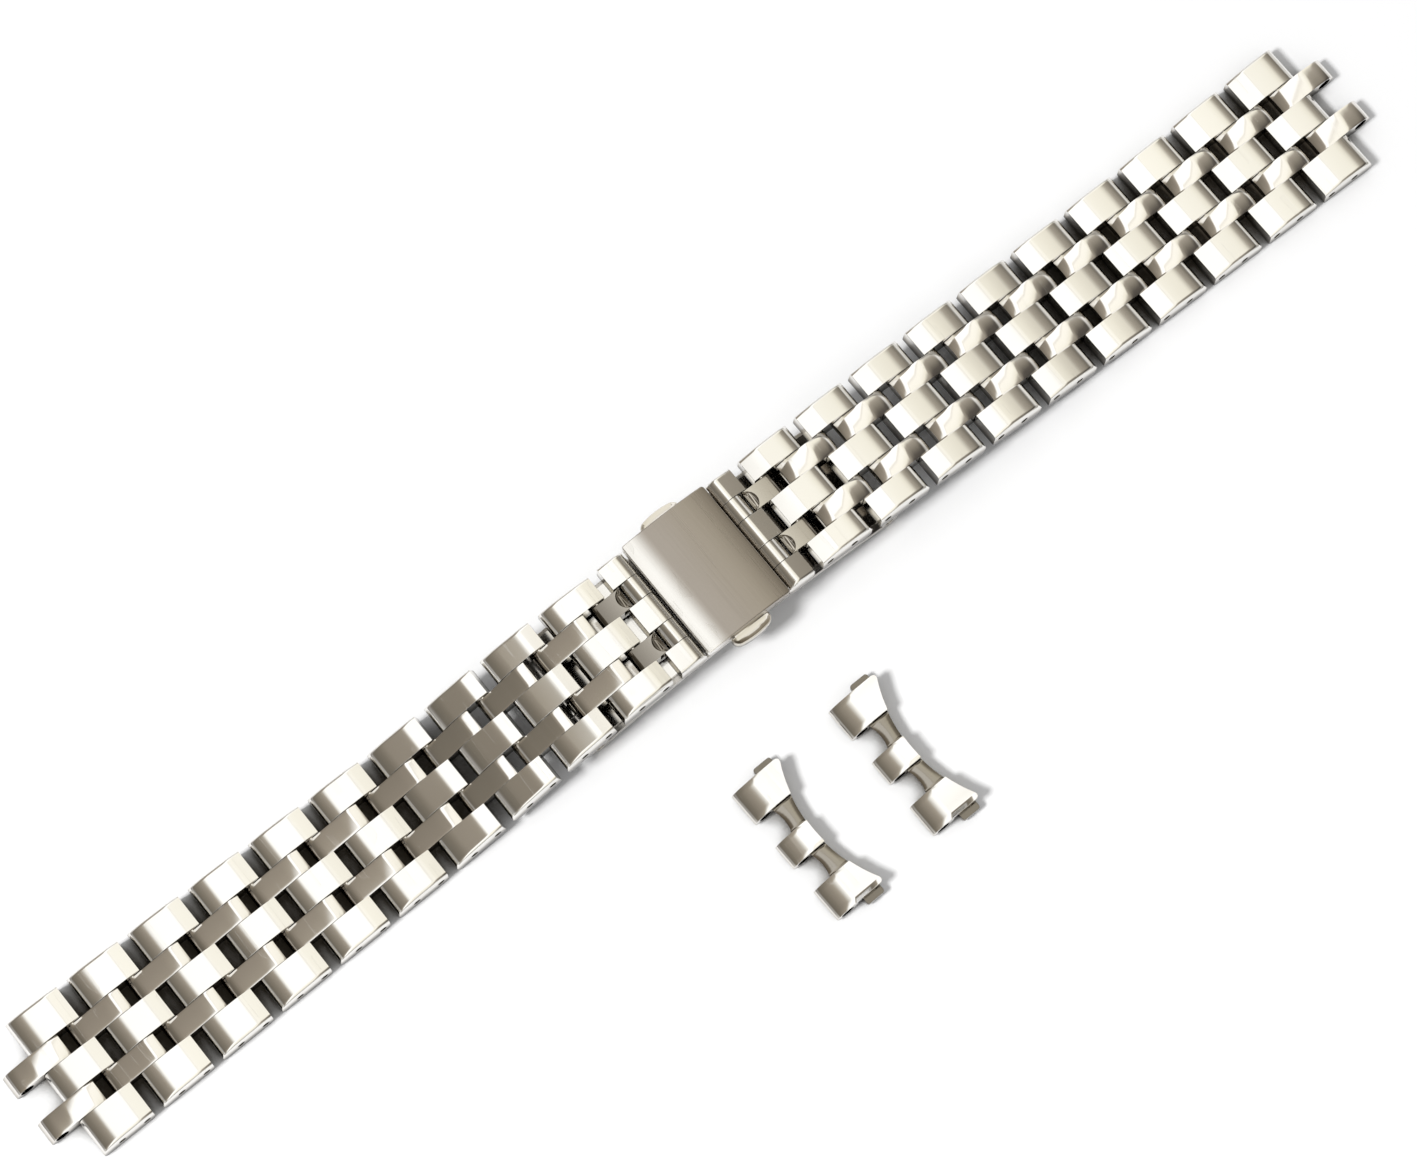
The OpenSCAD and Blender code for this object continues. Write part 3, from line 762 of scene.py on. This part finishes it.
# A tongue starts at the rim of a round scoop, whose floor is a box of its own
def tongue(middleY, addedShade):
    e = endPiece
    bm = bmesh.new()
    at = Matrix.Translation((e["scoopAt"], 0, e["tongueTop"]))
    ring = bmesh.ops.create_circle(bm, segments=e["scoopFacets"], radius=e["scoopR"], matrix=at)["verts"]
    bmesh.ops.delete(bm, geom=[v for v in ring if v.co.x < e["webFrom"] - e["overlap"]], context="VERTS")
    ends = [v for v in bm.verts if len(v.link_edges) == 1]
    corners = []
    for v in sorted(ends, key=lambda v: v.co.y):
        corner = bm.verts.new((e["tongueTo"], math.copysign(e["scoopR"], v.co.y), e["tongueTop"]))
        bm.edges.new((v, corner))
        corners.append(corner)
    bm.edges.new(corners)
    face = bmesh.ops.contextual_create(bm, geom=list(bm.edges))["faces"]
    down = bmesh.ops.extrude_face_region(bm, geom=face)["geom"]
    moved = [v for v in down if isinstance(v, bmesh.types.BMVert)]
    bmesh.ops.translate(bm, verts=moved, vec=(0, 0, -e["tongueTop"] - e["knuckle"]))
    bmesh.ops.recalc_face_normals(bm, faces=bm.faces)
    tip = edgesWhere(bm, lambda p: near(p.x, e["tongueTo"]))
    bevel(bm, [k for k in tip if abs(k.verts[0].co.y - k.verts[1].co.y) > 0.5], e["tipR"], 5)
    for v in bm.verts:
        if v.co.z > 0.1:
            v.co.z -= (v.co.x - e["webFrom"]) * math.tan(math.radians(e["tongueSlope"]))
    bm.normal_update()
    bevel(bm, sharpEdges(bm, 50), e["tongueEdge"], 2)
    shadeDepth = e["shadeDepth"] * e["knuckle"]
    label(bm, e["knuckle"], shadeDepth, e["tongueTone"], addedShade)
    dip = bmesh.new()
    dipTo = e["scoopAt"] + e["scoopR"] + e["overlap"]
    dipTop = e["tongueTop"] - e["scoopDeep"]
    box(dip, e["webFrom"], dipTo, -e["scoopR"], e["scoopR"], -e["knuckle"], dipTop)
    label(dip, e["knuckle"], shadeDepth, e["tongueTone"], addedShade)
    addTo(bm, dip, Matrix.Identity(4))
    bm.transform(Matrix.Translation((0, middleY, 0)))
    return bm


for side in sides:
    name = "end_piece_" + side
    place = placeOf(pinPoint(side, 0), pinPoint(side, 1))
    slope = endPiece["slope"][side]
    whole = bmesh.new()
    addTo(whole, endBody(-link["halfMiddle"], link["halfMiddle"], 0, slope), place)
    addTo(whole, endBody(link["outerFrom"], endPiece["halfW"], 1, slope), place)
    addTo(whole, endBody(-endPiece["halfW"], -link["outerFrom"], -1, slope), place)
    for row in (-1, 1):
        addTo(whole, tongue(row * bridgeRowY, endPiece["addedShade"][side]), place)
    finishPiece(whole, "top_" + name, name, name, steels["link"])
print("end pieces made")

# The clasp: cover plate and buttons
coverLow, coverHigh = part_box("cover_plate")
cover = {
    "archR": 22.0,
    "flatter": 0.72,  # the left side's share of the right side's arch
    "cornerR": 0.3,
    "edge": 0.14,
    "stations": 24,
    "shadeDepth": 3,  # times its height
    "tone": 0.5,
}


def coverPlate():
    bm = bmesh.new()
    x1, y1 = coverHigh.x / mm, coverHigh.y / mm
    height = (coverHigh.z - coverLow.z) / mm
    box(bm, -x1, x1, -y1, y1, 0, height)
    upright = [e for e in bm.edges if abs(e.verts[0].co.z - e.verts[1].co.z) > 0.1]
    bevel(bm, upright, cover["cornerR"], 4)
    for n in range(1, cover["stations"]):
        cutAt(bm, (-x1 + 2 * x1 * n / cover["stations"], 0, 0), (1, 0, 0))
    for v in bm.verts:
        if near(v.co.z, height):
            v.co.z -= crownDrop(v.co.x if v.co.x > 0 else cover["flatter"] * v.co.x, cover["archR"])
    bm.normal_update()
    bevel(bm, sharpEdges(bm, 50), cover["edge"], 3)
    bmesh.ops.recalc_face_normals(bm, faces=bm.faces)
    label(bm, height, cover["shadeDepth"] * height, cover["tone"])
    return bm


whole = bmesh.new()
addTo(whole, coverPlate(), standing(coverLow.z))
finishPiece(whole, "plate_cover", "cover_plate", "clasp", steels["cover"])

button = {
    "w": 4.9,
    "h": 1.3,
    "cornerR": 0.7,
    "edge": 0.14,
    "inset": 0.42,
    "dish": 0.16,
    "bow": 0.35,
    "columns": 8,
    "under": 0.1,  # how far the tab starts under the plate
    "stemInset": 0.5,
    "stemFrom": 0.3,
    "flange": 0.7,
    "tone": 0.5,
}


# The part outside the plate has a bowed tip and a shallow thumb dish
def buttonTab(root, tip):
    bm = bmesh.new()
    half = button["w"] / 2
    box(bm, -half, half, root, tip, 0, button["h"])
    corners = edgesWhere(bm, lambda p: near(p.y, tip))
    bevel(bm, [e for e in corners if abs(e.verts[0].co.z - e.verts[1].co.z) > 0.1], button["cornerR"], 5)
    top = [f for f in bm.faces if f.normal.z > 0.9]
    bmesh.ops.inset_region(bm, faces=top, thickness=button["inset"], depth=-button["dish"])
    bm.normal_update()
    bevel(bm, sharpEdges(bm, 60), button["edge"], 3)
    for n in range(1, button["columns"]):
        cutAt(bm, (-half + 2 * half * n / button["columns"], 0, 0), (1, 0, 0))
    for v in bm.verts:
        if v.co.y > root + 0.01:
            share = (v.co.y - root) / (tip - root)
            v.co.y -= button["bow"] * share * (v.co.x / half) ** 2
    label(bm, button["h"], 2 * button["h"], button["tone"])
    return bm


def buttonBlock(x0, x1, y0, y1):
    bm = bmesh.new()
    box(bm, x0, x1, y0, y1, 0, button["h"])
    label(bm, button["h"], 2 * button["h"], button["tone"])
    return bm


for end, sign in (("back", 1), ("front", -1)):
    name = "button_" + end
    low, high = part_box(name)
    tip = (high.y if sign > 0 else -low.y) / mm
    root = coverHigh.y / mm - button["under"]
    innerY = (low.y if sign > 0 else -high.y) / mm
    halfStem = button["w"] / 2 - button["stemInset"]
    stem = buttonBlock(-halfStem, halfStem, innerY + button["stemFrom"], root + button["under"])
    flange = buttonBlock(low.x / mm, high.x / mm, innerY, innerY + button["flange"])
    place = standing(low.z, 0 if sign > 0 else 180)
    whole = bmesh.new()
    for part in (buttonTab(root, tip), stem, flange):
        addTo(whole, part, place)
    finishPiece(whole, "tab_" + name, name, name, steels["button"])
print("clasp made")

# Loose end links: three rolled tubes, a case side hollowed to a cylinder, two lower notches and two tabs
endLink = {
    "half": 8.5,
    "depth": 4.15,
    "caseR": 17.0,
    "tube": 1.4,
    "hole": 0.8,
    "holeDeep": 0.8,
    "sheet": 0.6,
    "step": 0.7,
    "notch": 2.25,
    "notchBow": 0.3,
    "rows": ((-8.5, -4.65), (-1.475, 1.475), (4.65, 8.5)),
    "rollLen": 4.9,
    "rollCuts": range(10, 64, 7),  # degrees round the roll
    "underFlat": 0.03,
    "cornerR": 1.1,
    "edge": 0.06,
    "overlap": 0.05,  # notch floors run this far under the rows
    "tuck": 0.02,  # lower parts stop this far inside the sheet's outer sides
    "seam": 0.01,  # and this far below its underside
    "tabFrom": 3.5,
    "tabTo": 5.8,
    "tabOut": 0.8,
    "tabHigh": 0.8,
    "tabCornerR": 0.3,
    "wallShort": 0.6,
}
# Tone of each lower part, and how much more painted shade it gets than its depth gives
underLook = {"floor": (0.1, 0.66), "caseWall": (0.3, 0.1), "endWall": (0.3, 0.62), "tab": (0.2, 0.75)}


def caseX(y):
    return endLink["depth"] + endLink["caseR"] - math.sqrt(endLink["caseR"] ** 2 - y * y)


def acrossCuts(bm, y0, y1, count):
    for n in range(1, count):
        cutAt(bm, (0, y0 + (y1 - y0) * n / count, 0), (0, 1, 0))


# One row: a tube whose top rolls on into the flat sheet
def endLinkRow(y0, y1):
    e = endLink
    bm = bmesh.new()
    high = 2 * e["tube"]
    box(bm, 0, high, y0, y1, 0, high)
    low = edgesWhere(bm, lambda p: near(p.z, 0) and (near(p.x, 0) or near(p.x, high)))
    bevel(bm, [k for k in low if near(k.verts[0].co.x, k.verts[1].co.x)], e["tube"] - e["underFlat"], 6)
    back = [f for f in bm.faces if f.normal.x > 0.99]
    geom = list({g for f in back for g in (*f.verts, *f.edges)}) + back
    bmesh.ops.bisect_plane(bm, geom=geom, dist=1e-5, plane_co=(0, 0, high - e["step"]), plane_no=(0, 0, 1))
    sheet = [f for f in bm.faces if f.normal.x > 0.99 and f.calc_center_median().z > high - e["step"]]
    longer = bmesh.ops.extrude_face_region(bm, geom=sheet)["geom"]
    moved = [v for v in longer if isinstance(v, bmesh.types.BMVert)]
    bmesh.ops.translate(bm, verts=moved, vec=(1, 0, 0))  # the case side's curve replaces this 1
    acrossCuts(bm, y0, y1, 6)
    for degrees in e["rollCuts"]:
        cutAt(bm, (e["rollLen"] * (1 - math.cos(math.radians(degrees))), 0, 0), (1, 0, 0))
    for v in bm.verts:
        if near(v.co.x, high + 1):
            v.co.x = caseX(v.co.y)
    outer = max(y0, y1, key=abs)
    if near(abs(outer), e["half"]):
        corner = edgesWhere(bm, lambda p: near(p.y, outer) and near(p.x, caseX(outer)))
        bevel(bm, corner, e["cornerR"], 6)
    for v in bm.verts:
        if near(v.co.z, high):
            share = max(1 - v.co.x / e["rollLen"], 0)
            v.co.z = e["tube"] * (1 + math.sqrt(1 - share * share))
    bm.normal_update()
    bevel(bm, sharpEdges(bm, 50), e["edge"], 2)
    for sideY, out in ((y0, -1), (y1, 1)):
        bm.normal_update()
        drill(bm, [(e["tube"], e["tube"], e["hole"])], lambda x, y=sideY: y, out, e["holeDeep"])
    bmesh.ops.recalc_face_normals(bm, faces=bm.faces)
    label(bm, high, high, dice.random())
    return bm


def labelUnder(bm, top, key):
    tone, addedShade = underLook[key]
    label(bm, top, 2 * endLink["tube"], tone, addedShade)
    return bm


def notchFloor(y0, y1, top):
    e = endLink
    bm = bmesh.new()
    box(bm, 0, 1, y0, y1, top - e["sheet"], top)
    acrossCuts(bm, y0, y1, 8)
    for v in bm.verts:
        share = 1 - ((2 * v.co.y - y0 - y1) / (y1 - y0)) ** 2
        v.co.x = caseX(v.co.y) - e["tuck"] if v.co.x > 0.5 else e["notch"] + e["notchBow"] * share
    return labelUnder(bm, top, "floor")


def caseWall(top):
    e = endLink
    bm = bmesh.new()
    half = e["half"] - e["cornerR"]
    box(bm, -e["sheet"], 0, -half, half, 0, top - e["seam"])
    acrossCuts(bm, -half, half, 24)
    for v in bm.verts:
        v.co.x += caseX(v.co.y) - e["seam"]
    return labelUnder(bm, top, "caseWall")


def endWall(sign, top):
    e = endLink
    bm = bmesh.new()
    inner, outer = sorted(sign * y for y in (e["half"] - e["sheet"], e["half"] - e["tuck"]))
    box(bm, e["tabFrom"], e["tabTo"] - e["wallShort"], inner, outer, e["sheet"], top - e["seam"])
    return labelUnder(bm, top, "endWall")


def sideTab(sign):
    e = endLink
    bm = bmesh.new()
    root, tip = sign * (e["half"] - e["sheet"]), sign * (e["half"] + e["tabOut"])
    top = e["sheet"] + e["tabHigh"]
    box(bm, e["tabFrom"], e["tabTo"], min(root, tip), max(root, tip), e["sheet"], top)
    corners = edgesWhere(bm, lambda p: near(p.y, tip))
    upright = [k for k in corners if abs(k.verts[0].co.z - k.verts[1].co.z) > 0.1]
    bevel(bm, upright, e["tabCornerR"], 4)
    bm.normal_update()
    bevel(bm, sharpEdges(bm, 60), e["edge"], 2)
    return labelUnder(bm, top, "tab")


# What lies under the rows
def endLinkUnder():
    e = endLink
    floorTop = 2 * e["tube"] - e["step"]
    pieces = []
    for row, nextRow in zip(e["rows"], e["rows"][1:]):
        pieces.append(notchFloor(row[1] - e["overlap"], nextRow[0] + e["overlap"], floorTop))
    pieces.append(caseWall(floorTop))
    for sign in (-1, 1):
        pieces.append(endWall(sign, floorTop))
        pieces.append(sideTab(sign))
    return pieces


for letter in ("a", "b"):
    name = "end_link_" + letter
    mount = mountAt[name + "_tube"]
    across = -Vector(mount["axis"]).normalized()
    outward = Vector((across.y, -across.x, 0))
    facing = Matrix((outward, across, Vector((0, 0, 1)))).transposed().to_4x4()
    place = Matrix.Translation(Vector(mount["pos_m"])) @ facing @ Matrix.Scale(mm, 4)
    place = place @ Matrix.Translation((-endLink["tube"], 0, -endLink["tube"]))
    whole = bmesh.new()
    for part in [endLinkRow(*row) for row in endLink["rows"]] + endLinkUnder():
        addTo(whole, part, place)
    finishPiece(whole, "sheet_" + name, name, "clasp", steels["endLink"])
print("end links made")

# These keep their shape and only get a steel: (steel, slot)
kept = {
    "base_plate": ("clasp", "clasp_steel"),
    "clasp_frame": ("clasp", "clasp_steel"),
}  # the rest follows by side and end
for side in sides:
    kept["blade_" + side] = ("blade", "clasp_steel")
    kept["base_hinge_pin_" + side] = ("pin", "pin_steel")
    kept["end_hinge_pin_" + side] = ("pin", "pin_steel")
for end in ("back", "front"):
    kept["button_spring_" + end] = ("spring", "spring_steel")
for name, (key, slotName) in kept.items():
    obj = frame["nodes"][name]
    obj.data.materials.clear()
    obj.data.materials.append(steels[key])

# Painted shadow: the paper's colour turns dark brown only where the chain closes over it
paperLook = {
    "size": 2.0,
    "open": (0.97, 0.97, 0.97, 1),
    "closed": (0.09, 0.075, 0.055, 1),
    "reach": 4,  # mm
    "closedAt": 0.22,
    "noShadowAt": 0.5,
    "rough": 0.9,
}
paper = bpy.data.materials.new("paper")
paper.use_nodes = True
tree = paper.node_tree
shader = tree.nodes["Principled BSDF"]
# The painted shadow follows ambient occlusion within the reach
around = node(tree, "ShaderNodeAmbientOcclusion", samples=8)
around.inputs["Distance"].default_value = paperLook["reach"] * mm
unshadowed = eased(tree, around.outputs["AO"], paperLook["closedAt"], paperLook["noShadowAt"])
paperColour = blend(tree, "RGBA", unshadowed, paperLook["closed"], paperLook["open"])
tree.links.new(paperColour, shader.inputs["Base Color"])
shader.inputs["Roughness"].default_value = paperLook["rough"]
shader.inputs["Specular IOR Level"].default_value = 0.0

sheet = bmesh.new()
lowest = Matrix.Translation((0, 0, startBox[0].z))
bmesh.ops.create_grid(sheet, x_segments=1, y_segments=1, size=paperLook["size"], matrix=lowest)
floorMesh = meshOf(sheet, "floor")
floorMesh.materials.append(paper)
floor = bpy.data.objects.new("floor", floorMesh)
bpy.context.scene.collection.objects.link(floor)

# The room that the steel reflects: bands of light and dark
room = {
    "turned": -25,  # degrees from the chain
    "lowUntil": 0.3,  # height in the sky where the low bands give way
    "highFrom": 0.52,
    "strength": 1.3,
    "fill": 0.5,
}
world = bpy.data.worlds.new("studio")
bpy.context.scene.world = world
world.use_nodes = True
sky = world.node_tree
sky.nodes.clear()
toward = node(sky, "ShaderNodeSeparateXYZ")
sky.links.new(node(sky, "ShaderNodeTexCoord").outputs["Generated"], toward.inputs[0])
bandTurn = math.radians(room["turned"])
sideways = maths(sky, "MULTIPLY", toward.outputs["Y"], math.sin(bandTurn))
band = maths(sky, "MULTIPLY_ADD", toward.outputs["X"], math.cos(bandTurn), sideways)
band = maths(sky, "MULTIPLY_ADD", band, 0.5, 0.5)
highBands = [
    (-1.0, (0.10, 0.09, 0.075)),
    (-0.62, (0.17, 0.15, 0.12)),
    (-0.40, (0.25, 0.22, 0.18)),
    (-0.30, (0.31, 0.275, 0.22)),
    (-0.22, (1.0, 1.0, 0.98)),
    (0.03, (1.0, 1.0, 0.99)),
    (0.06, (0.70, 0.67, 0.60)),
    (0.11, (0.90, 0.88, 0.81)),
    (0.24, (0.88, 0.86, 0.78)),
    (0.37, (0.78, 0.75, 0.65)),
    (0.45, (0.32, 0.29, 0.245)),
    (0.60, (0.21, 0.19, 0.155)),
    (0.74, (0.08, 0.07, 0.06)),
    (1.0, (0.03, 0.03, 0.025)),
]
lowBands = [
    (-1.0, (0.22, 0.21, 0.20)),
    (-0.72, (0.62, 0.61, 0.58)),
    (-0.35, (0.30, 0.285, 0.265)),
    (0.0, (0.58, 0.57, 0.54)),
    (0.3, (0.26, 0.25, 0.23)),
    (0.7, (0.72, 0.71, 0.68)),
    (1.0, (0.30, 0.29, 0.27)),
]


def bandRamp(bands):
    ramp = node(sky, "ShaderNodeValToRGB")
    sky.links.new(band, ramp.inputs["Fac"])
    while len(ramp.color_ramp.elements) < len(bands):
        ramp.color_ramp.elements.new(0.5)
    for element, (at, colour) in zip(ramp.color_ramp.elements, bands):
        element.position = (at + 1) / 2
        element.color = (*colour, 1)
    return ramp.outputs["Color"]


overhead = eased(sky, toward.outputs["Z"], room["lowUntil"], room["highFrom"])
reflected = node(sky, "ShaderNodeBackground")
reflected.inputs["Strength"].default_value = room["strength"]
allBands = blend(sky, "RGBA", overhead, bandRamp(lowBands), bandRamp(highBands))
sky.links.new(allBands, reflected.inputs["Color"])
# Plain white for the camera, a softer white as the light that fills the shadows
path = node(sky, "ShaderNodeLightPath")
white = node(sky, "ShaderNodeBackground")
white.inputs["Color"].default_value = (1, 1, 1, 1)
whiteness = maths(sky, "MULTIPLY_ADD", path.outputs["Is Camera Ray"], 1 - room["fill"], room["fill"])
sky.links.new(whiteness, white.inputs["Strength"])
either = node(sky, "ShaderNodeMixShader")
sky.links.new(path.outputs["Is Glossy Ray"], either.inputs["Fac"])
sky.links.new(white.outputs[0], either.inputs[1])
sky.links.new(reflected.outputs[0], either.inputs[2])
sky.links.new(either.outputs[0], node(sky, "ShaderNodeOutputWorld").inputs["Surface"])

view = {
    "tilt": 15.0,
    "turn": 38.81,
    "away": 450.0,
    "aside": (0.3, 0.125),  # mm to the picture's right and down
    "focal": 4284,  # pixels, in a picture 1417 wide
    "pixelsWide": 1417,
    "sensor": 36,
}
tilt, heading = math.radians(view["tilt"]), math.radians(view["turn"])
imageRight = Vector((math.cos(heading), -math.sin(heading), 0))
tableDown = Vector((-math.sin(heading), -math.cos(heading), 0))
back = tableDown * math.sin(tilt) + Vector((0, 0, math.cos(tilt)))
imageDown = tableDown * math.cos(tilt) - Vector((0, 0, math.sin(tilt)))
eye = (back * view["away"] + imageRight * view["aside"][0] + imageDown * view["aside"][1]) * mm
camera = bpy.data.cameras.new("camera")
camera.sensor_width = view["sensor"]
camera.lens = view["focal"] / view["pixelsWide"] * view["sensor"]
camera.clip_start = 0.01
camera.clip_end = 10
cameraObject = bpy.data.objects.new("camera", camera)
bpy.context.scene.collection.objects.link(cameraObject)
looking = Matrix((imageRight, -imageDown, back)).transposed().to_4x4()
cameraObject.matrix_world = Matrix.Translation(eye) @ looking
bpy.context.scene.camera = cameraObject

# Metres, as the camera sees the table: to its right, towards it and up
softBox = {"size": 0.22, "energy": 7.6, "right": -0.45, "near": 0.35, "up": 0.8}
lamp = bpy.data.lights.new("softBox", "AREA")
lamp.shape = "DISK"
lamp.size = softBox["size"]
lamp.energy = softBox["energy"]
lampObject = bpy.data.objects.new("softBox", lamp)
bpy.context.scene.collection.objects.link(lampObject)
lampFrom = imageRight * softBox["right"] + tableDown * softBox["near"] + Vector((0, 0, softBox["up"]))
aimed = lampFrom.to_track_quat("Z", "Y").to_matrix().to_4x4()
lampObject.matrix_world = Matrix.Translation(lampFrom) @ aimed
lampObject.visible_glossy = False
print("stage made")

bpy.context.scene.view_settings.view_transform = "Standard"

print("box before", [round(x / mm, 2) for p in startBox for x in p])
